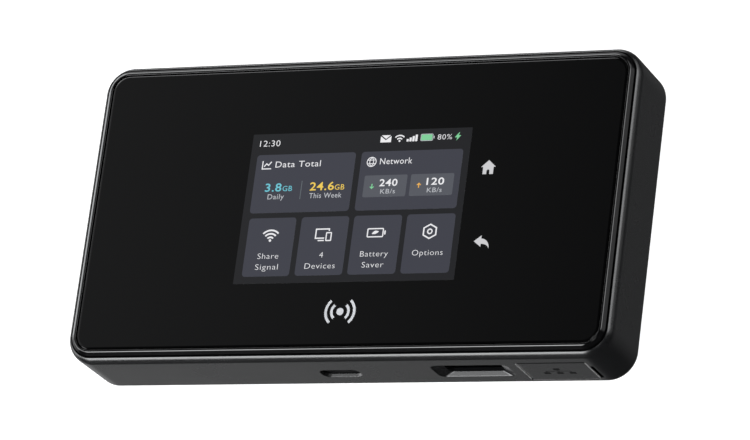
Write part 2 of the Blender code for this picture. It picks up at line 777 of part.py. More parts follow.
def build():
    clear_scene()
    bpy.context.scene.collection.children.link(parts)
    bpy.context.scene.collection.children.link(cutters)

    matte = finish("matte_grey_plastic", (0.035, 0.036, 0.038), 0.42)
    gloss = finish("gloss_black_plastic", (0.006, 0.006, 0.007), 0.08)
    glass = finish("black_glass", (0.004, 0.004, 0.005), 0.03)
    dark = finish("dark_plastic", (0.02, 0.02, 0.022), 0.5)
    tape = finish("tape", (0.01, 0.01, 0.01), 0.7)
    screen = finish("screen", (0.05, 0.05, 0.06), 0.1)
    film = finish("copper_film", (0.55, 0.30, 0.10), 0.4, 0.6)
    board = finish("circuit_board", (0.01, 0.09, 0.04), 0.4)
    tin = finish("tinned_steel", (0.62, 0.62, 0.60), 0.3, 1.0)
    gold = finish("gold_contacts", (0.80, 0.58, 0.24), 0.25, 1.0)
    wrap = finish("battery_wrap", (0.03, 0.03, 0.034), 0.45)
    chip_black = finish("chip_resin", (0.015, 0.015, 0.016), 0.4)
    pad_blue = finish("thermal_pad_silicone", (0.12, 0.25, 0.42), 0.8)
    plate = finish("aluminium_sheet", (0.70, 0.71, 0.72), 0.35, 1.0)
    card_white = finish("card_plastic", (0.75, 0.75, 0.73), 0.4)

    cover_joint = joint_at("back_cover_joint", (0, 0, 0))
    battery_joint = joint_at("battery_joint", (CONTACT_X, BAY_Y[0], BATTERY_LOW))
    flap_joint = joint_at("lan_flap_joint", (HINGE_X, HINGE_Y, sum(FLAP_Z) / 2))
    key_joint = joint_at("power_key_joint", (KEY_X, DEPTH / 2, KEY_Z))
    reset_joint = joint_at("reset_joint", (RESET_X, SIM_Y, 10.5))
    sim_joint = joint_at("sim_joint", (SIM_X + 1.5, SIM_Y, 10.6))

    side_frame(matte)
    front_shell(gloss)
    cover_glass(glass)
    glass_adhesive(tape)
    back_cover(matte, cover_joint)
    rear_tub(dark)
    screws(tin)

    lan_flap(matte, flap_joint)
    hinge_pin(tin)
    power_key(matte, key_joint)
    power_switch(dark, card_white, key_joint)
    reset_switch(tin, dark, reset_joint)

    display(screen, dark, film)
    icon_lights(card_white, card_white)
    main_board(board)
    shield_can("modem_shield", (-57.5, -33.5), (-18.0, 22.0), tin)
    shield_can("wifi_shield", (35.5, 58.0), (0.0, 25.0), tin)
    shield_can("power_shield", (35.5, 56.0), (-24.0, -3.0), tin)
    chip("modem_chip", (-45.0, 2.0), 16.0, chip_black)
    chip("wifi_chip", (46.5, 12.0), 10.0, chip_black)
    chip("power_chip", (45.0, -13.0), 7.0, chip_black)
    usb_c(tin, chip_black, dark)
    usb_a(tin, chip_black)
    lan_jack(dark, gold)
    lan_magnetics(chip_black)
    sim_reader(tin, card_white, sim_joint)

    battery(wrap, gold, battery_joint)
    battery_connector(dark, gold)
    antennas(film)
    coax_lead("coax_left", -1, 12.0, dark)
    coax_lead("coax_right", 1, 10.0, dark)
    cooling(pad_blue, plate)


build()
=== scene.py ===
"""Looks of the mobile hotspot: fine surfaces, the lit display, materials, studio and camera.

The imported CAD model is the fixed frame. The device lies on its back, +Z is out of the screen and
-Y is the edge with the ports. Sizes here are in millimetres; the mesh helpers turn them into metres.
"""

import json
import math

import bmesh
import bpy
from mathutils import Matrix, Vector


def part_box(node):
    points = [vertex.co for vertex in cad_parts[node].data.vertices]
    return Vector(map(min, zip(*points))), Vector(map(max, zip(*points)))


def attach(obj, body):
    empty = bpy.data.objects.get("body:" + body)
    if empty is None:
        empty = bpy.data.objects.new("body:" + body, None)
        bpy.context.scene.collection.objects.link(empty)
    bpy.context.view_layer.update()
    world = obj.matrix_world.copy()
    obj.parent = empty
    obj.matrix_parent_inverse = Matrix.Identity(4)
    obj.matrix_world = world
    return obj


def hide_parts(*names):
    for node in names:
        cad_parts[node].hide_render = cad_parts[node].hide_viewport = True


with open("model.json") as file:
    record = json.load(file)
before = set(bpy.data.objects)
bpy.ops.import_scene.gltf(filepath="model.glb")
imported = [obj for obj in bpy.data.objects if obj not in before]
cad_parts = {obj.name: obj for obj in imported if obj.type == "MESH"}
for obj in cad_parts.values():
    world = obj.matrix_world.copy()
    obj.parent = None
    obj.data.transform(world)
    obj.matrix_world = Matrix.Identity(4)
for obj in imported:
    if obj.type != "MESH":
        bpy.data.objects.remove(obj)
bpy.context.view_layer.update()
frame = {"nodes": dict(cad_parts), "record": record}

MM = 0.001


def cad(node):
    """(lowest corner, highest corner) of a CAD node, in millimetres."""
    low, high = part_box(node)
    return low / MM, high / MM


CASE_LOW, CASE_HIGH = cad("side_frame")
WIDTH = round(CASE_HIGH.x - CASE_LOW.x, 2)
DEPTH = round(CASE_HIGH.y - CASE_LOW.y, 2)
RIM_TOP = round(CASE_HIGH.z, 2)
GLASS_DROP, CREST_DROP = 0.25, 0.02
GLASS_TOP = round(cad("cover_glass")[1].z, 2) - GLASS_DROP
CREST_TOP = round(cad("front_shell")[1].z, 2) - CREST_DROP

# The case, close to part.py's: insets from the outline, heights, radii, and the slope in degrees.
CORNER = 6.5
CORNER_STEPS = 16
WALL = 2.0
BACK_ROUND = 1.7
FRONT_ROUND = 2.6
LIP = 1.14
LIP_EDGE = 0.12
LIP_RISE = 0.03
SHELF = 16.3
SHELL_INSET = 1.42
SHELL_EDGE = 0.1
CREST_INSET = 2.42
CREST_ROUND = 0.5
SLOPE_ANGLE = 50
SEAT_EDGE = 0.08
SEAT_INSET = 2.6
FLOOR_LOW, FLOOR_TOP = 16.6, 17.65
GLASS_INSET = 2.9
GLASS_LOW = 18.05
GLASS_SHIFT = (0.15, -0.1)
GLASS_EDGE, GLASS_EDGE_TURN = 1.0, 60

# Openings in the band. mouth is the radius that softens an opening's edge. A port's sink narrows
# over its depth to the hole's size, and corners are the radii of the two.
USB_C = dict(
    x=-1.28, z=8.05, sink=(9.6, 4.5), size=(9.1, 3.9), corners=(1.7, 1.5), depth=0.65, mouth=0.15
)
USB_A = dict(
    x=30.7, z=8.7, sink=(18.0, 7.3), size=(13.6, 6.3), corners=(1.6, 1.2), depth=1.06, mouth=0.3
)
FLAP = dict(
    x=(42.3, 58.8), z=(2.4, 13.5), gap=0.25, top_gap=0.4, thick=1.4, barrel=1.0, mouth=0.12
)
NOTCH = dict(x=(58.75, 59.7), z=(3.4, 10.8), depth=1.2)
# The width of the pale beads by the flap's gaps, whose light colour paints the edge highlights there.
HIGHLIGHT_BEAD = 0.08
HINGE_X = FLAP["x"][0] + FLAP["gap"] + FLAP["barrel"]
HINGE_Y = -DEPTH / 2 + FLAP["barrel"]
PIN_ROOM = 0.65
KEY = dict(x=38.0, z=13.6, size=(11.0, 3.0), gap=0.3, mouth=0.2, proud=0.25)
PRY = dict(x=-WIDTH / 2 + 0.4, radius=4.0, top=0.9)

# The lit picture on the glass: the panel without its dark border, on a grid of 480 by 320. Each
# layer's top is one step above the one under it, and all of them are rooted in the glass.
PANEL_LOW, PANEL_HIGH = cad("lcd_panel")
BORDER = (2.0, 2.55)
SCREEN_SHIFT = 0.1
GRID = (480, 320)
SCREEN_LEFT = PANEL_LOW.x + BORDER[0] - SCREEN_SHIFT
SCREEN_TOP = PANEL_HIGH.y - BORDER[1] + SCREEN_SHIFT
UNIT_X = (PANEL_HIGH.x - PANEL_LOW.x - 2 * BORDER[0]) / GRID[0]
UNIT_Y = (PANEL_HIGH.y - PANEL_LOW.y - 2 * BORDER[1]) / GRID[1]
PRINT_STEP = 0.008
PRINT_ROOT = 0.06
CAPITAL = 0.682  # a capital's height, for letters of size 1
LETTER_SPACE = 1.08


# ---------------------------------------------------------------- mesh helpers


def as_object(name, shape):
    bmesh.ops.recalc_face_normals(shape, faces=shape.faces)
    mesh = bpy.data.meshes.new(name)
    shape.to_mesh(mesh)
    shape.free()
    thing = bpy.data.objects.new(name, mesh)
    bpy.context.scene.collection.objects.link(thing)
    return thing


def rounded(width, height, radius, cx=0.0, cy=0.0, steps=CORNER_STEPS):
    """The points of a rectangle with round corners, anticlockwise."""
    points = []
    for quarter, (sx, sy) in enumerate(((1, 1), (-1, 1), (-1, -1), (1, -1))):
        x = cx + sx * (width / 2 - radius)
        y = cy + sy * (height / 2 - radius)
        for step in range(steps + 1):
            angle = math.pi / 2 * (quarter + step / steps)
            points.append((x + radius * math.cos(angle), y + radius * math.sin(angle)))
    return points


def case_outline(inset):
    """The case's outline, moved inwards. Inside the shell's foot it drifts towards the glass's place."""
    inward = max(inset - SHELL_INSET, 0) / (GLASS_INSET - SHELL_INSET)
    middle = (GLASS_SHIFT[0] * inward, GLASS_SHIFT[1] * inward)
    return rounded(WIDTH - 2 * inset, DEPTH - 2 * inset, CORNER - inset, *middle)


def obround(size, cx, cy, grow=0.0):
    width, height = size[0] + 2 * grow, size[1] + 2 * grow
    return rounded(width, height, height / 2 - 0.01, cx, cy, 12)


def arc(cx, cz, radius, start, end, steps):
    """(inset, height) along an arc, where 0 degrees faces out of the case and 90 faces up."""
    points = []
    for step in range(steps + 1):
        angle = math.radians(start + (end - start) * step / steps)
        points.append((cx - radius * math.cos(angle), cz + radius * math.sin(angle)))
    return points


def loft(name, levels, ring=False):
    """A solid through outlines with equally many points. A ring closes on itself and has no caps."""
    shape = bmesh.new()
    rows = [[shape.verts.new((x * MM, y * MM, z * MM)) for x, y in outline] for outline, z in levels]
    pairs = list(zip(rows, rows[1:]))
    if ring:
        pairs.append((rows[-1], rows[0]))
    else:
        shape.faces.new(rows[0])
        shape.faces.new(rows[-1])
    for low, high in pairs:
        for i in range(len(low)):
            j = (i + 1) % len(low)
            shape.faces.new((low[i], low[j], high[j], high[i]))
    return as_object(name, shape)


def swept(name, profile, ring=False):
    """The case's outline at each (inset, height) of a profile."""
    return loft(name, [(case_outline(inset), height) for inset, height in profile], ring)


def slab(name, outline, low, high):
    return loft(name, [(outline, low), (outline, high)])


def stand(thing):
    """Turns a solid modelled face up so that its height runs out of the port edge, to -Y."""
    thing.data.transform(Matrix.Rotation(math.radians(90), 4, "X"))
    return thing


def flared(name, outline, face, depth, mouth, steps=6):
    """A cutter into the port edge, whose mouth opens on a round edge. outline(grow) gives its shape."""
    levels = [(outline(mouth), face + 1.0)]
    for step in range(steps + 1):
        angle = math.pi / 2 * step / steps
        grow = mouth * (1 - math.sin(angle))
        levels.append((outline(grow), face - mouth * (1 - math.cos(angle))))
    levels.append((outline(0.0), face - depth))
    return stand(loft(name, levels))


def box(name, x, y, z, edge=0.0, steps=3):
    """A box from its ranges, with its edges rounded."""
    shape = bmesh.new()
    bmesh.ops.create_cube(shape, size=1.0)
    size = Vector((x[1] - x[0], y[1] - y[0], z[1] - z[0])) * MM
    centre = Vector((x[1] + x[0], y[1] + y[0], z[1] + z[0])) * MM / 2
    shape.transform(Matrix.Translation(centre) @ Matrix.Diagonal((*size, 1.0)))
    if edge:
        bmesh.ops.bevel(
            shape, geom=shape.edges[:], offset=edge * MM, segments=steps, profile=0.5, affect="EDGES"
        )
    return as_object(name, shape)


def quarter(steps):
    """Even angles over a quarter turn."""
    return [math.pi / 2 * step / steps for step in range(steps + 1)]


def post(name, radius, x, y, z, sides=32, edge=0.0):
    """A round post along Z, with a rounded rim at both ends."""
    profile = [(radius, z[0] + edge), (radius, z[1] - edge)]
    if edge:
        low = [(radius - edge * (1 - math.cos(a)), z[0] + edge * (1 - math.sin(a))) for a in quarter(3)]
        high = [(r, z[0] + z[1] - height) for r, height in low]
        profile = low[::-1] + high
    levels = []
    turn = [2 * math.pi * i / sides for i in range(sides)]
    for reach, height in profile:
        levels.append(([(x + reach * math.cos(t), y + reach * math.sin(t)) for t in turn], height))
    return loft(name, levels)


def boolean(thing, tools, operation):
    """Cuts or joins with each tool in turn, keeps the result as the mesh, and removes the tools."""
    for tool in tools:
        modifier = thing.modifiers.new("boolean", "BOOLEAN")
        modifier.operation = operation
        modifier.solver = "EXACT"
        modifier.object = tool
    settle(thing)
    for tool in tools:
        bpy.data.objects.remove(tool)
    return thing


def settle(thing):
    """Makes the evaluated mesh the object's own."""
    bpy.context.view_layer.update()
    graph = bpy.context.evaluated_depsgraph_get()
    mesh = bpy.data.meshes.new_from_object(thing.evaluated_get(graph))
    thing.modifiers.clear()
    thing.data = mesh
    return thing


def cut(thing, *tools):
    return boolean(thing, tools, "DIFFERENCE")


def join(thing, *tools):
    return boolean(thing, tools, "UNION")


def merge(name, things):
    """Puts separate solids into one mesh."""
    shape = bmesh.new()
    for thing in things:
        shape.from_mesh(thing.data)
        bpy.data.objects.remove(thing)
    return as_object(name, shape)


def finished(thing, material, body="case", stands_for=(), smooth=35):
    """The material, the piece's place in the frame, and shading that stays sharp over smooth degrees."""
    clean_mesh(thing)
    thing.data.materials.clear()
    thing.data.materials.append(material)
    thing.data.shade_smooth()
    thing.data.set_sharp_from_angle(angle=math.radians(smooth))
    weighted = thing.modifiers.new("weighted_normals", "WEIGHTED_NORMAL")
    weighted.keep_sharp = True
    weighted.weight = 100
    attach(thing, body)
    if stands_for:
        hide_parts(*stands_for)
    return thing


def clean_mesh(thing):
    """Welds points that a cut left almost on each other, and drops faces with no area."""
    shape = bmesh.new()
    shape.from_mesh(thing.data)
    bmesh.ops.remove_doubles(shape, verts=shape.verts, dist=0.002 * MM)
    bmesh.ops.dissolve_degenerate(shape, edges=shape.edges, dist=0.001 * MM)
    shape.to_mesh(thing.data)
    shape.free()


# ---------------------------------------------------------------- materials


def new_material(name):
    material = bpy.data.materials.new(name)
    material.use_nodes = True
    nodes, links = material.node_tree.nodes, material.node_tree.links
    return material, nodes, links, nodes["Principled BSDF"]


def noise(nodes, links, scale, detail=3.0):
    """Noise over the object's own metres, so that scale is in cycles per metre."""
    place = nodes.new("ShaderNodeTexCoord")
    texture = nodes.new("ShaderNodeTexNoise")
    texture.inputs["Scale"].default_value = scale
    texture.inputs["Detail"].default_value = detail
    links.new(place.outputs["Object"], texture.inputs["Vector"])
    return texture.outputs["Fac"]


def spread(nodes, links, value, low, high):
    """Maps noise to a range of numbers."""
    ranged = nodes.new("ShaderNodeMapRange")
    ranged.inputs["From Min"].default_value = 0.3
    ranged.inputs["From Max"].default_value = 0.7
    ranged.inputs["To Min"].default_value = low
    ranged.inputs["To Max"].default_value = high
    links.new(value, ranged.inputs["Value"])
    return ranged.outputs["Result"]


def tones(nodes, links, value, colour, vary):
    """A colour that varies by a share about itself."""
    ramp = nodes.new("ShaderNodeValToRGB")
    ramp.color_ramp.elements[0].position = 0.3
    ramp.color_ramp.elements[1].position = 0.7
    ramp.color_ramp.elements[0].color = (*[c * (1 - vary) for c in colour], 1)
    ramp.color_ramp.elements[1].color = (*[min(c * (1 + vary), 1) for c in colour], 1)
    links.new(value, ramp.inputs["Fac"])
    return ramp.outputs["Color"]


def raised(nodes, links, shader, value, height):
    """A bump of that height in millimetres."""
    bump = nodes.new("ShaderNodeBump")
    bump.inputs["Strength"].default_value = 1.0
    bump.inputs["Distance"].default_value = height * MM
    links.new(value, bump.inputs["Height"])
    links.new(bump.outputs["Normal"], shader.inputs["Normal"])


def surface(name, colour, rough, grain=4000, height=0.002, vary=0.08, metallic=0.0, specular=0.5):
    """The family that most materials come from: a toned colour, uneven gloss and a fine grain."""
    material, nodes, links, shader = new_material(name)
    broad = noise(nodes, links, grain / 40)
    fine = noise(nodes, links, grain, 2.0)
    links.new(tones(nodes, links, broad, colour, vary), shader.inputs["Base Color"])
    links.new(spread(nodes, links, broad, rough * 0.92, rough * 1.08), shader.inputs["Roughness"])
    if height:
        raised(nodes, links, shader, fine, height)
    shader.inputs["Metallic"].default_value = metallic
    shader.inputs["Specular IOR Level"].default_value = specular
    return material


def lit(name, colour):
    """A part of the picture: it glows, under the same gloss as the glass. colour is the shade shown."""
    material, nodes, links, shader = new_material(name)
    linear = [((c + 0.055) / 1.055) ** 2.4 for c in colour]
    toned = tones(nodes, links, noise(nodes, links, 9000, 1.0), linear, 0.03)
    shader.inputs["Base Color"].default_value = (0.002, 0.002, 0.002, 1)
    links.new(toned, shader.inputs["Emission Color"])
    shader.inputs["Emission Strength"].default_value = 1.0
    shader.inputs["Roughness"].default_value = 0.05
    return material


def brushed(name, colour, rough, along="X"):
    """Drawn sheet metal, with fine lines along one axis."""
    material, nodes, links, shader = new_material(name)
    place = nodes.new("ShaderNodeTexCoord")
    stretch = nodes.new("ShaderNodeMapping")
    stretch.inputs["Scale"].default_value = [0.04 if axis == along else 1.0 for axis in "XYZ"]
    texture = nodes.new("ShaderNodeTexNoise")
    texture.inputs["Scale"].default_value = 9000
    links.new(place.outputs["Object"], stretch.inputs["Vector"])
    links.new(stretch.outputs["Vector"], texture.inputs["Vector"])
    line = texture.outputs["Fac"]
    links.new(tones(nodes, links, line, colour, 0.08), shader.inputs["Base Color"])
    links.new(spread(nodes, links, line, rough * 0.8, rough * 1.25), shader.inputs["Roughness"])
    raised(nodes, links, shader, line, 0.001)
    shader.inputs["Metallic"].default_value = 1.0
    return material


def circuit(name):
    """Solder mask, with copper showing faintly through it as a pattern of lines."""
    material, nodes, links, shader = new_material(name)
    place = nodes.new("ShaderNodeTexCoord")
    bricks = nodes.new("ShaderNodeTexBrick")
    bricks.inputs["Scale"].default_value = 420
    bricks.inputs["Mortar Size"].default_value = 0.03
    bricks.inputs["Color1"].default_value = (0.008, 0.07, 0.035, 1)
    bricks.inputs["Color2"].default_value = (0.010, 0.085, 0.042, 1)
    bricks.inputs["Mortar"].default_value = (0.03, 0.16, 0.08, 1)
    links.new(place.outputs["Object"], bricks.inputs["Vector"])
    links.new(bricks.outputs["Color"], shader.inputs["Base Color"])
    raised(nodes, links, shader, bricks.outputs["Fac"], 0.01)
    shader.inputs["Roughness"].default_value = 0.3
    return material


CASE_GREY = (0.0045, 0.0047, 0.0051)
case_plastic = surface("case_plastic", CASE_GREY, 0.26, height=0.0003)
cover_plastic = surface("cover_plastic", CASE_GREY, 0.35, height=0.001)
gloss_black = surface("gloss_black", (0.002, 0.002, 0.0022), 0.07, grain=1500, height=0.0)
screen_glass = surface("screen_glass", (0.0006, 0.0006, 0.0007), 0.05, grain=600, height=0.0)
inner_plastic = surface("inner_plastic", (0.02, 0.02, 0.022), 0.5, height=0.003)
tape_black = surface("tape_black", (0.012, 0.012, 0.012), 0.7, grain=6000)
chip_resin = surface("chip_resin", (0.015, 0.015, 0.016), 0.45, grain=7000)
sheet_steel = brushed("sheet_steel", (0.62, 0.62, 0.60), 0.3)
gold_plate = surface("gold_plate", (0.80, 0.58, 0.24), 0.25, metallic=1.0, height=0.0)
copper_film = surface("copper_film", (0.55, 0.30, 0.10), 0.35, metallic=0.6, height=0.001)
battery_wrap = surface("battery_wrap", (0.03, 0.03, 0.034), 0.45)
silicone_pad = surface("silicone_pad", (0.12, 0.25, 0.42), 0.8, grain=2500, height=0.01)
aluminium_sheet = brushed("aluminium_sheet", (0.70, 0.71, 0.72), 0.32, "Y")
pale_plastic = surface("pale_plastic", (0.75, 0.75, 0.73), 0.4)
rubber_black = surface("rubber_black", (0.016, 0.016, 0.016), 0.75, grain=3000, height=0.01)
pale_print = surface("pale_print", (0.52, 0.53, 0.55), 0.4, height=0.0)
dim_print = surface("dim_print", (0.001, 0.001, 0.001), 0.6, height=0.0, specular=0.15)
socket_steel = surface("socket_steel", (0.03, 0.03, 0.031), 0.45, metallic=0.8, height=0.0)
# Light grey that paints the highlights along the flap's edges, as the beads' colour.
highlight_bead_grey = surface("highlight_bead_grey", (0.36, 0.36, 0.36), 0.4, height=0.0)
# Black that paints the shade deep in the nail slot beside the flap.
slot_shade_black = surface("slot_shade_black", (0.0008, 0.0008, 0.0008), 0.9, height=0.0, specular=0.0)
board_mask = circuit("board_mask")

BY_SLOT = {
    "case_plastic": case_plastic,
    "cover_plastic": cover_plastic,
    "gloss_black": gloss_black,
    "screen_glass": screen_glass,
    "screen_image": gloss_black,
    "touch_icons": pale_plastic,
    "inner_plastic": inner_plastic,
    "tape": tape_black,
    "circuit_board": board_mask,
    "chip_resin": chip_resin,
    "steel": sheet_steel,
    "gold": gold_plate,
    "copper_film": copper_film,
    "battery_wrap": battery_wrap,
    "silicone_pad": silicone_pad,
    "aluminium_sheet": aluminium_sheet,
    "pale_plastic": pale_plastic,
}


def dress_cad_nodes():
    """Every CAD node takes the material of its slot in the record, and the sockets a darker steel."""
    for row in frame["record"]["subparts"]:
        data = frame["nodes"][row["node"]].data
        data.materials.clear()
        data.materials.append(BY_SLOT[row["material_slot"]])
    for socket in ("usb_a_shell", "usb_c_shell"):
        frame["nodes"][socket].data.materials[0] = socket_steel


# ---------------------------------------------------------------- the case


def front_arc():
    """The band's front edge: the arc up from the wall, then the small round edge of the lip."""
    centre_z = RIM_TOP + LIP_RISE - FRONT_ROUND * math.sin(math.acos(1 - LIP / FRONT_ROUND))
    reach = FRONT_ROUND - LIP_EDGE
    turn = math.acos((FRONT_ROUND - LIP + LIP_EDGE) / reach)
    edge_z = centre_z + reach * math.sin(turn)
    big = arc(FRONT_ROUND, centre_z, FRONT_ROUND, 0, math.degrees(turn), 12)
    small = arc(LIP - LIP_EDGE, edge_z, LIP_EDGE, math.degrees(turn), 180, 8)
    return big + small[1:]


def side_band():
    """The matte band, with the ports, the flap's seat, the key's hole and the pry notch."""
    profile = [(WALL, 0), *arc(BACK_ROUND, BACK_ROUND, BACK_ROUND, -90, 0, 8), *front_arc()]
    profile += [(LIP, SHELF), (WALL, SHELF)]
    band = swept("side_band", profile, ring=True)
    edge = DEPTH / 2
    through = WALL + 1
    cut(
        band,
        port_opening(USB_C, edge, through),
        port_opening(USB_A, edge, through),
        flared("flap", flap_outline, edge, through, FLAP["mouth"], 5),
        box("notch", NOTCH["x"], (-edge - 1, -edge + NOTCH["depth"]), NOTCH["z"], 0.12, 2),
        post("pin", PIN_ROOM, HINGE_X, HINGE_Y, (1.2, 14.8)),
        key_hole(edge, through),
        post("pry", PRY["radius"], PRY["x"], 0, (-1, PRY["top"]), 48),
    )
    return finished(band, case_plastic, stands_for=["side_frame"], smooth=25)


def port_opening(port, edge, through, steps=5):
    """A port's cutter: a mouth that turns over the band's face into a bevelled sink, then the hole."""
    size, sink, mouth = port["size"], port["sink"], port["mouth"]
    sink_corner, corner = port["corners"]

    def sink_outline(grow):
        width, height = sink[0] + 2 * grow, sink[1] + 2 * grow
        return rounded(width, height, sink_corner + grow, port["x"], port["z"], 8)

    bevel = math.atan2(port["depth"], (sink[1] - size[1]) / 2)
    reach = mouth * math.sin(bevel)
    levels = [(sink_outline(reach), edge + 1.0)]
    for step in range(steps + 1):
        turn = bevel * step / steps
        levels.append((sink_outline(reach - mouth * math.sin(turn)), edge - mouth * (1 - math.cos(turn))))
    hole = rounded(*size, corner, port["x"], port["z"], 8)
    return stand(loft("port", levels + [(hole, edge - port["depth"]), (hole, edge - through)]))


def flap_outline(grow):
    x, z = FLAP["x"], FLAP["z"]
    size = (x[1] - x[0] + 2 * grow, z[1] - z[0] + 2 * grow)
    return rounded(*size, 0.25, sum(x) / 2, sum(z) / 2, 3)


def key_hole(edge, through):
    """The key's hole, on the far edge."""
    size = (KEY["size"][0] + 2 * KEY["gap"], KEY["size"][1] + 2 * KEY["gap"])
    hole = flared("key", lambda g: obround(size, -KEY["x"], KEY["z"], g), edge, through, KEY["mouth"])
    hole.data.transform(Matrix.Rotation(math.pi, 4, "Z"))
    return hole


def gloss_ring():
    """The glossy shell: the sloping ring around the glass, the floor under it, and the bosses."""
    steep = math.radians(SLOPE_ANGLE)
    turn = 90 - SLOPE_ANGLE
    meets_x = CREST_INSET - CREST_ROUND * math.sin(steep)
    meets_z = CREST_TOP - CREST_ROUND * (1 - math.cos(steep))
    foot_z = meets_z - (meets_x - SHELL_INSET) * math.tan(steep)
    profile = [(SHELL_INSET, FLOOR_LOW)]
    profile += arc(SHELL_INSET + SHELL_EDGE, foot_z - SHELL_EDGE / 2, SHELL_EDGE, 0, turn, 3)
    profile += arc(CREST_INSET, CREST_TOP - CREST_ROUND, CREST_ROUND, turn, 90, 8)
    profile += arc(SEAT_INSET - SEAT_EDGE, CREST_TOP - SEAT_EDGE, SEAT_EDGE, 90, 180, 4)
    profile += [(SEAT_INSET, FLOOR_TOP)]
    ring = swept("gloss_ring", profile)
    low, high = cad("lcd_backlight")
    middle = ((low.x + high.x) / 2, (low.y + high.y) / 2)
    tray = (high.x - low.x, high.y - low.y)
    panel = PANEL_HIGH - PANEL_LOW
    rib_wall, seat_room, window_room, guide_room = 1.6, 0.4, 0.3, 0.3
    boss_radius, pilot_radius = 2.0, 1.0
    boss_z, pilot_z = (4.9, FLOOR_TOP - 0.4), (4, 9.5)
    rib = rounded(tray[0] + 2 * rib_wall, tray[1] + 2 * rib_wall, 1.5, *middle, 6)
    bosses = [post("boss", boss_radius, x, y, boss_z) for x, y in screw_places()]
    join(ring, slab("rib", rib, low.z + 0.5, FLOOR_LOW + 0.3), *bosses)
    seat = rounded(tray[0] + 2 * seat_room, tray[1] + 2 * seat_room, 0.8, *middle, 6)
    window = rounded(panel.x + 2 * window_room, panel.y + 2 * window_room, 0.6, *middle, 6)
    guide_low, guide_high = cad("icon_light_guide")
    guide_x = (guide_low.x - guide_room, guide_high.x + guide_room)
    guide_y = (guide_low.y - guide_room, guide_high.y + guide_room)
    flex_x, flex_y = (-7.5, 9.5), (low.y - 3.1, low.y + 0.9)
    below, above = low.z - 1, FLOOR_TOP + 1
    cut(
        ring,
        slab("seat", seat, below, FLOOR_LOW),
        slab("window", window, below, above),
        box("flex", flex_x, flex_y, (below, FLOOR_LOW)),
        box("guide", guide_x, guide_y, (below, above)),
        *[post("pilot", pilot_radius, x, y, pilot_z) for x, y in screw_places()],
    )
    return finished(ring, gloss_black, stands_for=["front_shell"])


def screw_places():
    """The screws' axes, from the CAD nodes."""
    places = []
    for number in range(1, 7):
        low, high = cad(f"screw_{number}")
        places.append(((low.x + high.x) / 2, (low.y + high.y) / 2))
    return places


def front_glass():
    """The cover glass, with its upper edge ground round."""
    reach = GLASS_INSET + GLASS_EDGE * math.cos(math.radians(GLASS_EDGE_TURN))
    profile = [(GLASS_INSET + 0.05, GLASS_LOW), (GLASS_INSET, GLASS_LOW + 0.05)]
    profile += arc(reach, GLASS_TOP - GLASS_EDGE, GLASS_EDGE, GLASS_EDGE_TURN, 90, 6)
    glass = swept("front_glass", profile)
    return finished(glass, screen_glass, stands_for=["cover_glass"])


# ---------------------------------------------------------------- flat prints on the glass


def grid(points):
    """From the picture's grid, whose second axis runs down, to millimetres on the glass."""
    return [(SCREEN_LEFT + u * UNIT_X, SCREEN_TOP - v * UNIT_Y) for u, v in points]


def card(x, y, radius, steps=6):
    return [rounded(x[1] - x[0], y[1] - y[0], radius, sum(x) / 2, sum(y) / 2, steps)]


def frame_of(x, y, radius, line):
    """A rounded outline of even width."""
    inner_x, inner_y = (x[0] + line, x[1] - line), (y[0] + line, y[1] - line)
    return card(x, y, radius) + card(inner_x, inner_y, max(radius - line, 0.3))


def disc(cx, cy, radius, squash=1.0, sides=28):
    turn = [2 * math.pi * i / sides for i in range(sides)]
    return [[(cx + radius * squash * math.cos(t), cy + radius * math.sin(t)) for t in turn]]


def hoop(cx, cy, radius, line, squash=1.0):
    inner = (radius * squash - line) / (radius - line)
    return disc(cx, cy, radius, squash) + disc(cx, cy, radius - line, inner)


def fan(cx, cy, inner, outer, middle, half, steps=10):
    """A band of a circle about a middle angle, in degrees."""
    turn = [math.radians(middle - half + 2 * half * i / steps) for i in range(steps + 1)]
    out = [(cx + outer * math.cos(t), cy + outer * math.sin(t)) for t in turn]
    back = [(cx + inner * math.cos(t), cy + inner * math.sin(t)) for t in reversed(turn)]
    return [out + back]


def stroke(points, width):
    """A line of even width through points, with mitred corners."""
    left, right = [], []
    for i, point in enumerate(points):
        before = Vector(points[max(i - 1, 0)])
        after = Vector(points[min(i + 1, len(points) - 1)])
        here = Vector(point)
        into = (here - before).normalized() if i else (after - here).normalized()
        out = (after - here).normalized() if i < len(points) - 1 else into
        across = Vector((-into.y - out.y, into.x + out.x)).normalized()
        reach = width / 2 / max(across.dot(Vector((-into.y, into.x))), 0.4)
        left.append(tuple(here + across * reach))
        right.append(tuple(here - across * reach))
    return [left + right[::-1]]


def flat_mesh(curve_object):
    """A filled curve as a closed mesh, in millimetres."""
    bpy.context.view_layer.update()
    graph = bpy.context.evaluated_depsgraph_get()
    mesh = bpy.data.meshes.new_from_object(curve_object.evaluated_get(graph))
    bpy.data.objects.remove(curve_object)
    shape = bmesh.new()
    shape.from_mesh(mesh)
    bpy.data.meshes.remove(mesh)
    bmesh.ops.remove_doubles(shape, verts=shape.verts, dist=0.0005)
    return shape


def curve_object(curve):
    thing = bpy.data.objects.new("flat", curve)
    bpy.context.scene.collection.objects.link(thing)
    return thing


def filled(outlines, thick):
    """Outlines with their holes, filled and extruded."""
    curve = bpy.data.curves.new("flat", "CURVE")
    curve.dimensions = "2D"
    curve.fill_mode = "BOTH"
    curve.extrude = thick / 2
    for outline in outlines:
        spline = curve.splines.new("POLY")
        spline.points.add(len(outline) - 1)
        for point, (x, y) in zip(spline.points, outline):
            point.co = (x, y, 0, 1)
        spline.use_cyclic_u = True
    return flat_mesh(curve_object(curve))


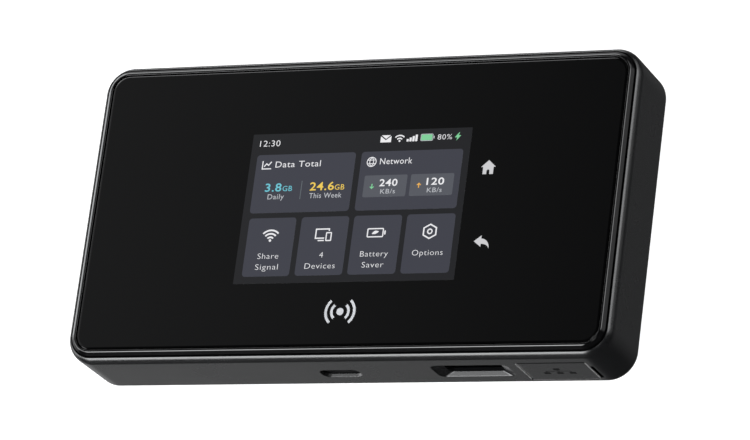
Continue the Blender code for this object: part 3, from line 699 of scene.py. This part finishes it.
def lettering(text, x, base, cap, thick, bold=0.0):
    """Words on the grid: they fill the range x, stand on the line base, and capitals are cap high."""
    curve = bpy.data.curves.new("text", "FONT")
    curve.body = text
    curve.size = cap / CAPITAL
    curve.space_character = LETTER_SPACE
    curve.offset = bold
    curve.resolution_u = 3
    curve.extrude = thick / 2
    shape = flat_mesh(curve_object(curve))
    left = min(v.co.x for v in shape.verts)
    right = max(v.co.x for v in shape.verts)
    stretch = (x[1] - x[0]) / (right - left)
    for vert in shape.verts:
        u, v = x[0] + (vert.co.x - left) * stretch, base - vert.co.y
        vert.co.x, vert.co.y = grid([(u, v)])[0]
    return shape


def printed(name, level, material, shapes=(), words=()):
    """One colour of the picture or of the print: thin closed shapes on the glass, joined as a piece."""
    high = GLASS_TOP + level * PRINT_STEP
    thick = high - GLASS_TOP + PRINT_ROOT
    whole = bmesh.new()
    solids = [filled(outlines, thick) for outlines in shapes]
    solids += [lettering(*row[:4], thick, *row[4:]) for row in words]
    for solid in solids:
        solid.transform(Matrix.Translation((0, 0, high - thick / 2)))
        solid.transform(Matrix.Scale(MM, 4))
        mesh = bpy.data.meshes.new("part")
        solid.to_mesh(mesh)
        solid.free()
        whole.from_mesh(mesh)
        bpy.data.meshes.remove(mesh)
    piece = as_object(name, whole)
    piece.data.materials.append(material)
    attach(piece, "case")
    return piece


def on_grid(shapes):
    return [[grid(outline) for outline in outlines] for outlines in shapes]


# ---------------------------------------------------------------- the picture


def display_picture():
    """A generic status page: a bar along the top, two wide cards and four square ones."""
    wide = [card((15, 233), (45, 170), 6.7), card((246, 466), (45, 170), 6.7)]
    square = [card((x, x + 104), (181, 305), 6.7) for x in (17, 133, 248, 363)]
    tiles = [card((259, 352), (96, 142), 3.0), card((360, 453), (96, 142), 3.0)]
    layer("screen_back", 1, (0.122, 0.124, 0.135), [card((0, GRID[0]), (0, GRID[1]), 1.0)])
    layer("screen_cards", 2, (0.245, 0.250, 0.286), wide + square)
    layer("screen_tiles", 3, (0.338, 0.347, 0.376), tiles)
    layer("screen_white", 4, (0.93, 0.93, 0.94), white_shapes(), white_words())
    layer("screen_grey", 4, (0.74, 0.75, 0.77), grey_shapes(), grey_words())
    today = [("3.8", (42, 78), 124, 16.7, 0.3), ("GB", (81, 102), 124, 11)]
    layer("screen_cyan", 4, (0.43, 0.765, 0.824), [], today)
    week = [("24.6", (141, 194), 124, 16.7, 0.3), ("GB", (196, 217), 124, 11)]
    layer("screen_yellow", 4, (0.94, 0.80, 0.35), [], week)
    green = [card((371.5, 395), (12.2, 24.2), 1.5), bolt(450.5, 18.5), arrow(277, 119.5, 1)]
    layer("screen_green", 5, (0.50, 0.81, 0.60), green)
    layer("screen_orange", 5, (0.92, 0.69, 0.32), [arrow(379, 119.5, -1)])
    layer("screen_divider", 4, (0.39, 0.42, 0.44), [card((121.3, 122.7), (103, 142), 0.3)])


def layer(name, level, colour, shapes, words=()):
    return printed(name, level, lit(name, colour), on_grid(shapes), words)


def arrow(cx, cy, way):
    """A thin arrow pointing down for way 1, up for -1."""
    stem, head, width = 5.5, 5.0, 1.1
    tip = cy + way * stem
    side = tip - way * head
    outline = [
        (cx, tip),
        (cx - head, side),
        (cx - head + 1.6, side - 0.6 * way),
        (cx - width, tip - 4.2 * way),
        (cx - width, cy - way * stem),
        (cx + width, cy - way * stem),
        (cx + width, tip - 4.2 * way),
        (cx + head - 1.6, side - 0.6 * way),
        (cx + head, side),
    ]
    return [outline]


def bolt(cx, cy):
    shape = [(2.0, -8.5), (-6.5, 1.8), (-1.0, 1.8), (-2.6, 8.5), (6.5, -2.6), (0.9, -2.6), (3.6, -8.5)]
    return [[(cx + x, cy + y) for x, y in shape]]


def radio(cx, foot, reach, line):
    """The usual wireless sign: a dot under arcs."""
    gap = reach * 0.42
    arcs = [fan(cx, foot, reach - line - gap * i, reach - gap * i, -90, 47) for i in range(2)]
    return [*arcs, disc(cx, foot - line * 0.55, line * 0.8)]


def white_shapes():
    envelope = [
        [[(284.6, 10.9), (304.4, 10.9), (294.5, 18.6)]],
        [[(283, 12.9), (294.5, 21.6), (306, 12.9), (306, 26), (283, 26)]],
    ]
    bars = [card((340 + 6.2 * i, 344.6 + 6.2 * i), (20.4 - 2.9 * i, 25.7), 0.4, 2) for i in range(4)]
    chart = [
        stroke([(29.2, 58), (29.2, 75), (49, 75)], 2.2),
        stroke([(33, 70), (38, 64), (42.5, 67.5), (48.5, 60)], 2.2),
    ]
    globe = [
        hoop(269.7, 67, 10.6, 1.7),
        hoop(269.7, 67, 9.2, 1.5, 0.52),
        card((260.5, 278.9), (62.4, 63.8), 0.3, 2),
        card((260.5, 278.9), (70.2, 71.6), 0.3, 2),
    ]
    screens = [
        stroke([(187.5, 226.5), (168.3, 226.5), (168.3, 207.3), (196.8, 207.3), (196.8, 211.5)], 2.6),
        stroke([(174, 231.5), (187.5, 231.5)], 2.4),
        frame_of((190.5, 203.5), (214, 233), 2.0, 2.4),
    ]
    cell = [
        frame_of((280, 316), (208, 227.5), 3.0, 2.4),
        card((317.4, 320.4), (213.5, 222), 0.8, 2),
        leaf(298, 217.8),
    ]
    return [
        *envelope,
        *radio(324.5, 25.4, 14.5, 2.6),
        *bars,
        *chart,
        *globe,
        *radio_large(),
        *screens,
        *cell,
        *nut(415.7, 217.7),
    ]


def radio_large():
    """Three arcs over a dot."""
    cx, foot, line, gap = 68.7, 230.5, 3.4, 7.4
    reaches = (25.0, 25.0 - gap)
    arcs = [fan(cx, foot, reach - line, reach, -90, 46, 16) for reach in reaches]
    return [*arcs, fan(cx, foot, 10.2 - line, 10.2, -90, 46), disc(cx, foot - 1.6, 2.7)]


def leaf(cx, cy):
    """A leaf between two arcs, lying on a slant."""
    half, bulge = 8.0, 4.2
    upper = [(-half + half * i / 5, -bulge * math.sin(math.pi * i / 10)) for i in range(11)]
    lower = [(-x, -y * 0.55) for x, y in upper[1:-1]]
    slant = Matrix.Rotation(math.radians(-18), 2)
    middle = Vector((cx, cy))
    return [[tuple(middle + slant @ Vector(point)) for point in upper + lower]]


def nut(cx, cy):
    """A hexagon standing on a corner, with a ring in it."""

    def hexagon(radius):
        turn = [math.radians(30 + 60 * i) for i in range(6)]
        return [(cx + radius * math.cos(t) * 1.04, cy + radius * math.sin(t)) for t in turn]

    return [[hexagon(16.4), hexagon(13.2)], hoop(cx, cy, 6.0, 2.6)]


def white_words():
    rows = [
        ("12:30", (17, 62), 26.7, 12.7, -0.15),
        ("80%", (407, 438), 23.9, 11, -0.2),
        ("Data Total", (58, 158), 72.7, 12.7, -0.05),
        ("Network", (288, 358), 72.7, 12.7, -0.05),
        ("240", (293, 332), 119.3, 14.3, 0.3),
        ("120", (395, 433), 119.3, 14.3, 0.3),
    ]
    labels = [
        (69, ("Share", 46), ("Signal", 50)),
        (186, ("4", 8), ("Devices", 66)),
        (301, ("Battery", 60), ("Saver", 47)),
        (416, ("Options", 66)),
    ]
    for centre, *lines in labels:
        for line, (word, width) in enumerate(lines):
            span = (centre - width / 2, centre + width / 2)
            rows.append((word, span, 267.7 + 23 * line, 11.7, -0.25))
    return rows


def grey_shapes():
    return [frame_of((370, 397), (10.7, 25.7), 2.6, 1.2), card((398, 400), (15.5, 21), 0.5, 2)]


def grey_words():
    return [
        ("Daily", (50, 86), 140.7, 10.7),
        ("This Week", (142, 213), 140.7, 10.7),
        ("KB/s", (297, 329), 135.2, 9.6),
        ("KB/s", (398, 430), 135.2, 9.6),
    ]


# ---------------------------------------------------------------- prints beside the picture


def touch_icons():
    """The two lit icons right of the display: a house, and an arrow that turns back."""
    x, y = 32.95, 6.3
    door, wall, eaves = 0.35, 1.25, 1.75
    turn = [math.radians(a) for a in range(180, -1, -30)]
    arch = [(x + door * math.cos(t), y + 0.75 + door * math.sin(t)) for t in turn]
    house = [(x - wall, y), (x - door, y), *arch, (x + door, y), (x + wall, y)]
    house += [(x + wall, y + 1.7), (x + eaves, y + 1.7), (x, y + 3.3)]
    house += [(x - eaves, y + 1.7), (x - wall, y + 1.7)]
    left, foot = 33.35, -11.2
    turn = [math.radians(a) for a in range(90, 4, -10)]
    outer = [(left + 2.0 * math.cos(t), foot + 2.35 * math.sin(t)) for t in turn]
    inner = [(left + 1.86 * math.cos(t), foot + 1.12 * math.sin(t)) for t in turn]
    back = [(31.64, -9.45), (left, -8.1), *outer, (left + 1.92, foot), *inner[::-1], (left, -10.8)]
    material = lit("touch_icons", (0.80, 0.80, 0.81))
    return printed("touch_icons", 1, material, [[house], [back]])


def wireless_mark():
    """A generic sign for radio, below the display: a dot between pairs of arcs."""
    x, y = 1.6, -25.3
    line, inners = 0.62, (1.75, 3.15)
    arcs = [fan(x, y, r, r + line, middle, 48, 12) for middle in (0, 180) for r in inners]
    return printed("wireless_mark", 1, pale_print, [*arcs, disc(x, y, 0.85)])


# ---------------------------------------------------------------- the flap, the key and the back


def port_flap():
    """The door over the network port: a plate on its barrel, and the latch lug."""
    low, high = FLAP["z"][0] + FLAP["gap"], FLAP["z"][1] - FLAP["top_gap"]
    face = -DEPTH / 2
    right = FLAP["x"][1] - FLAP["gap"]
    flap = box("port_flap", (HINGE_X - 0.4, right), (face, face + FLAP["thick"]), (low, high), 0.08, 2)
    lug = box("lug", (right - 4.75, right - 0.95), (face + 1, face + FLAP["thick"] + 0.5), (6.0, 10.0), 0.2)
    side = slab("side", rounded(2.2, 1.6, 0.5, HINGE_X + 0.1, face + 0.8, 6), low, high)
    join(flap, side, post("barrel", FLAP["barrel"], HINGE_X, HINGE_Y, (low, high), 48, 0.12), lug)
    cut(flap, post("bore", PIN_ROOM, HINGE_X, HINGE_Y, (low - 1, high + 1)))
    return finished(flap, case_plastic, "lan_flap", ["lan_flap"])


def paint_flap_edge_highlights():
    """Pale beads beside the flap, on the band left of its gap and on its free end: their light grey paints
    the thin highlights along the flap's edges.
    """
    z = (FLAP["z"][0] + 0.4, FLAP["z"][1] - 0.6)
    face = -DEPTH / 2
    left, right = FLAP["x"][0], FLAP["x"][1] - FLAP["gap"]
    fixed = box("band_highlight_bead", (left - HIGHLIGHT_BEAD / 2, left + HIGHLIGHT_BEAD / 2), (face - 0.01, face + 0.5), z, 0.03, 2)
    finished(fixed, highlight_bead_grey)
    free = box("flap_highlight_bead", (right - HIGHLIGHT_BEAD, right + 0.02), (face - 0.01, face + 0.5), z, 0.03, 2)
    finished(free, highlight_bead_grey, "lan_flap")


def paint_slot_shade():
    """Painted shade: a black lining inside the slot beside the flap, where a nail lifts it, that stands for
    the shade deep in the slot.
    """
    face, wall = -DEPTH / 2, 0.06
    x, z = NOTCH["x"], NOTCH["z"]
    shade_lining = box("slot_shade_lining", x, (face + 0.12, face + NOTCH["depth"]), z)
    room_x, room_z = (x[0] + wall, x[1] - wall), (z[0] + wall, z[1] - wall)
    cut(shade_lining, box("room", room_x, (face - 1, face + NOTCH["depth"] - wall), room_z))
    finished(shade_lining, slot_shade_black)


def flap_sign():
    """A small network sign on the flap: three boxes that branch from one above them."""
    cx, cz = sum(FLAP["x"]) / 2, sum(FLAP["z"]) / 2
    tip, root = DEPTH / 2 + 0.01, DEPTH / 2 - 0.06
    across, half, high, line, arm = 3.0, 0.75, 1.1, 0.11, 0.7
    squares = [((-half, half), (arm, arm + high))]
    squares += [((x - half, x + half), (-arm - high, -arm)) for x in (-across, 0, across)]
    lines = [((-across, across), (-line, line)), ((-line, line), (line, arm))]
    lines += [((x - line, x + line), (-arm, -line)) for x in (line - across, 0, across - line)]
    solids = []
    for x, z in squares + lines:
        outline = [(cx + x[i], cz + z[j]) for i, j in ((0, 0), (1, 0), (1, 1), (0, 1))]
        solids.append(stand(slab("sign", outline, root, tip)))
    return finished(merge("flap_sign", solids), dim_print, "lan_flap")


def power_button():
    """The key on the far edge, with a crowned face, its flange, and the usual power sign on it."""
    edge = DEPTH / 2
    inner = edge - WALL - 0.3
    tip = edge + KEY["proud"]
    crown = 0.35

    def outline(shrink):
        return obround(KEY["size"], -KEY["x"], KEY["z"], -shrink)

    levels = [(outline(0), inner - 0.7)]
    levels += [(outline(crown * (1 - math.cos(a))), tip - crown * (1 - math.sin(a))) for a in quarter(5)]
    key = stand(loft("power_button", levels))
    flange = stand(slab("flange", rounded(13.6, 3.5, 0.5, -KEY["x"], KEY["z"], 6), inner - 0.7, inner))
    join(key, flange)
    key.data.transform(Matrix.Rotation(math.pi, 4, "Z"))
    finished(key, case_plastic, "power_key", ["power_key"])
    ring = fan(0, 0, 0.62, 0.82, -90, 145, 24)
    line = [[(-0.1, 0.2), (0.1, 0.2), (0.1, 0.95), (-0.1, 0.95)]]
    solids = []
    for outlines in (ring, line):
        shape = filled(outlines, 0.08)
        shape.transform(Matrix.Translation((-KEY["x"], KEY["z"], tip - 0.03)))
        shape.transform(Matrix.Scale(MM, 4))
        solids.append(stand(as_object("sign", shape)))
    sign = merge("power_sign", solids)
    sign.data.transform(Matrix.Rotation(math.pi, 4, "Z"))
    finished(sign, pale_print, "power_key")


def battery_door():
    """The back cover: a plate with a soft outer edge, seats for its pads, grip ribs and snap tabs."""
    low, high = cad("back_cover")
    inset = CASE_HIGH.x - high.x
    top, edge = 1.3, 0.35
    profile = [(inset + edge * (1 - math.cos(a)), edge * (1 - math.sin(a))) for a in quarter(5)][::-1]
    profile += [(inset, top - 0.1), (inset + 0.1, top)]
    door = swept("battery_door", profile)
    tabs = [box("tab", x, y, (top - 0.5, high.z), 0.15, 2) for x, y in tab_places()]
    join(door, *tabs)
    seats = [post("seat", 3.6, x, y, (-1, 0.5), 48) for x, y in pad_places()]
    grooves = []
    for i in range(4):
        left = low.x + 6 + 2.2 * i
        grooves.append(box("groove", (left, left + 1), (-7 + i, 7 - i), (-1, 0.35), 0.2, 2))
    cut(door, *seats, *grooves)
    finished(door, cover_plastic, "back_cover", ["back_cover"])
    pads = [post("pad", 3.4, x, y, (0.0, 0.6), 48, 0.12) for x, y in pad_places()]
    finished(merge("grip_pads", pads), rubber_black, "back_cover")


def pad_places():
    x, y = WIDTH / 2 - 12, DEPTH / 2 - 10
    return [(sx * x, sy * y) for sx in (-1, 1) for sy in (-1, 1)]


def tab_places():
    """The ranges in X and Y of the six snap tabs."""
    half, thick, inset = 3.0, 0.8, 2.6
    reach_x, reach_y = WIDTH / 2 - inset, DEPTH / 2 - inset
    places = []
    for x, side in ((-30, 1), (20, 1), (-45, -1), (14, -1)):
        places.append(((x - half, x + half), sorted((side * reach_y, side * (reach_y - thick)))))
    for y, side in ((8, 1), (8, -1)):
        places.append((sorted((side * reach_x, side * (reach_x - thick))), (y - half, y + half)))
    return places


def wrapped_battery():
    """The pack: a soft-edged block in its sleeve, with a pale label that shows which way it goes in."""
    low, high = cad("battery_pack")
    corner, edge = 2.0, 0.7
    middle = ((low.x + high.x) / 2, (low.y + high.y) / 2)
    levels = []
    for a in quarter(4):
        shrink = edge * (1 - math.sin(a))
        levels.append((pack_outline(low, high, middle, corner, shrink), low.z + edge * (1 - math.cos(a))))
    upper = [(outline, low.z + high.z - height) for outline, height in reversed(levels)]
    pack = loft("wrapped_battery", levels + upper)
    terminal_low, terminal_high = cad("battery_terminals")
    room_x = (terminal_low.x - 0.3, terminal_high.x + 0.3)
    cut(pack, box("seat", room_x, (low.y - 1, low.y + 1.2), (4.0, 8.0)))
    finished(pack, battery_wrap, "battery", ["battery_pack"])
    cx, cy = middle
    aside, arm, half = 18, 4, 0.9
    minus = card((cx + aside - arm, cx + aside + arm), (cy - half, cy + half), 0.3, 2)
    marks = [cross(cx - aside, cy, arm, half), minus]
    for i in range(3):
        marks.append(card((cx - 9, cx + 9 - 3 * i), (cy + 3 - 3 * i, cy + 3.6 - 3 * i), 0.2, 2))
    label = [rounded(52, 30, 2.0, *middle, 6)]
    battery_print("battery_label", [label], low.z - 0.01, low.z + 0.05, pale_print)
    battery_print("battery_signs", marks, low.z - 0.02, low.z + 0.05, dim_print)


def cross(cx, cy, reach, half):
    turn = [(half, half), (half, reach), (-half, reach), (-half, half), (-reach, half), (-reach, -half)]
    turn += [(-x, -y) for x, y in turn]
    return [[(cx + x, cy + y) for x, y in turn]]


def battery_print(name, shapes, low, high, material):
    """Flat shapes on the side of the pack that faces its cover."""
    solids = []
    for outlines in shapes:
        shape = filled(outlines, high - low)
        shape.transform(Matrix.Translation((0, 0, (low + high) / 2)))
        shape.transform(Matrix.Scale(MM, 4))
        solids.append(as_object("print", shape))
    return finished(merge(name, solids), material, "battery")


def pack_outline(low, high, middle, corner, shrink):
    size = (high.x - low.x - 2 * shrink, high.y - low.y - 2 * shrink)
    return rounded(*size, corner - shrink, *middle, 8)


def port_contacts():
    """Gold strips on the two tongues."""
    low, high = cad("usb_a_tongue")
    strips = []
    for i in range(4):
        x = (low.x + high.x) / 2 + 2.5 * (i - 1.5)
        y, z = (low.y + 0.4, low.y + 6.4), (low.z - 0.05, low.z + 0.1)
        strips.append(box("strip", (x - 0.5, x + 0.5), y, z, 0.03, 1))
    finished(merge("usb_a_contacts", strips), gold_plate)
    low, high = cad("usb_c_tongue")
    middle_z = (low.z + high.z) / 2
    strips = []
    for side in (-1, 1):
        face = middle_z + side * 0.35
        z = sorted((face - side * 0.1, face + side * 0.03))
        for i in range(12):
            x = (low.x + high.x) / 2 + 0.5 * (i - 5.5)
            strips.append(box("strip", (x - 0.12, x + 0.12), (low.y + 0.5, low.y + 4.0), z, 0.02, 1))
    finished(merge("usb_c_contacts", strips), gold_plate)


# ---------------------------------------------------------------- studio


# Soft lights of the room: where each comes from, the angles at which it is full and gone, and its
# radiance, which is what a mirror there would show.
GLOWS = {
    "left_high": ((-0.90, 0.30, 0.45), 18, 44, 0.45),
    "left_floor": ((-0.75, 0.00, -0.66), 12, 41, 0.50),
    "left_low": ((-0.72, 0.45, -0.62), 8, 18, 1.0),
    "left_corner": ((-0.96, -0.18, 0.10), 12, 20, 3.6),
    "corner_panel": ((-0.75, -0.50, 0.38), 10, 20, 5.0),
    "left_horizon": ((-0.93, 0.34, 0.10), 9, 15, 4.0),
    "left_back": ((-0.72, 0.64, 0.20), 8, 16, 7.0),
    "low_right": ((0.50, 0.50, -0.75), 15, 45, 0.09),
    "front_panel": ((-0.406, -0.80, 0.45), 14, 19.5, 12.5),
    "front_low": ((-0.406, -0.90, -0.25), 10, 24, 0.2),
    "right_panel": ((0.80, 0.31, 0.48), 14, 19, 5.4),
    "right_band": ((0.92, 0.33, 0.05), 12, 24, 0.7),
    "right_corner": ((0.58, 0.72, 0.33), 8, 24, 2.2),
    "back_panel": ((-0.40, 0.90, 0.12), 15, 22, 5.0),
    "back_floor": ((-0.40, 0.84, -0.40), 10, 34, 0.35),
    "overhead": ((0.40, -0.48, 0.78), 6, 14, 3.0),
}
ROOM = 0.03
FLOOR = dict(side=6000, corner=200, low=-2.0, top=-0.05, glow=0.88)


def studio():
    """A pale floor that also glows a little, and a dim room with soft lights in it."""
    outline = rounded(FLOOR["side"], FLOOR["side"], FLOOR["corner"], steps=4)
    floor = slab("floor", outline, FLOOR["low"], FLOOR["top"])
    material = surface("pale_floor", (0.45, 0.45, 0.45), 0.6, grain=400, height=0.0, vary=0.01)
    shader = material.node_tree.nodes["Principled BSDF"]
    shader.inputs["Emission Color"].default_value = (1, 1, 1, 1)
    shader.inputs["Emission Strength"].default_value = FLOOR["glow"]
    floor.data.materials.append(material)
    floor.visible_glossy = False
    world = bpy.data.worlds.new("room")
    bpy.context.scene.world = world
    world.use_nodes = True
    nodes, links = world.node_tree.nodes, world.node_tree.links
    place = nodes.new("ShaderNodeTexCoord")
    total = None
    for direction, full, gone, radiance in GLOWS.values():
        light = glow(nodes, links, place.outputs["Generated"], direction, full, gone, radiance)
        if total is None:
            total = light
        else:
            both = nodes.new("ShaderNodeMath")
            links.new(total, both.inputs[0])
            links.new(light, both.inputs[1])
            total = both.outputs["Value"]
    room = nodes.new("ShaderNodeMath")
    room.inputs[1].default_value = ROOM
    links.new(total, room.inputs[0])
    links.new(room.outputs["Value"], nodes["Background"].inputs["Strength"])
    nodes["Background"].inputs["Color"].default_value = (0.98, 0.99, 1.0, 1)
    bpy.context.scene.view_settings.view_transform = "Standard"


def glow(nodes, links, place, direction, full, gone, radiance):
    """A round soft light in the room, by the angle from its middle."""
    near = nodes.new("ShaderNodeVectorMath")
    near.operation = "DOT_PRODUCT"
    near.inputs[1].default_value = Vector(direction).normalized()
    links.new(place, near.inputs[0])
    fade = nodes.new("ShaderNodeMapRange")
    fade.interpolation_type = "SMOOTHSTEP"
    fade.inputs["From Min"].default_value = math.cos(math.radians(gone))
    fade.inputs["From Max"].default_value = math.cos(math.radians(full))
    fade.inputs["To Min"].default_value = 0.0
    fade.inputs["To Max"].default_value = radiance
    links.new(near.outputs["Value"], fade.inputs["Value"])
    return fade.outputs["Result"]


def camera():
    """The viewpoint: a long lens high above the port edge, to its right, and rolled a little."""
    data = bpy.data.cameras.new("camera")
    data.sensor_width = 36.0
    data.lens = 232.26
    data.clip_start, data.clip_end = 0.05, 20.0
    target = Vector((6.70, -3.46, RIM_TOP)) * MM
    distance, azimuth, elevation, roll = 1.0734, -39.16, 58.41, 7.48
    turn, rise = math.radians(azimuth), math.radians(elevation)
    away = Vector((math.cos(turn) * math.cos(rise), math.sin(turn) * math.cos(rise), math.sin(rise)))
    across = Vector((0, 1, 0)).cross(away).normalized()
    up = away.cross(across)
    basis = Matrix((across, up, away)).transposed()
    basis = Matrix.Rotation(math.radians(roll), 3, away) @ basis
    eye = bpy.data.objects.new("camera", data)
    eye.matrix_world = Matrix.Translation(target + away * distance) @ basis.to_4x4()
    bpy.context.scene.collection.objects.link(eye)
    bpy.context.scene.camera = eye


dress_cad_nodes()
side_band()
gloss_ring()
front_glass()
display_picture()
touch_icons()
wireless_mark()
port_flap()
paint_flap_edge_highlights()
paint_slot_shade()
flap_sign()
power_button()
battery_door()
wrapped_battery()
port_contacts()
studio()
camera()
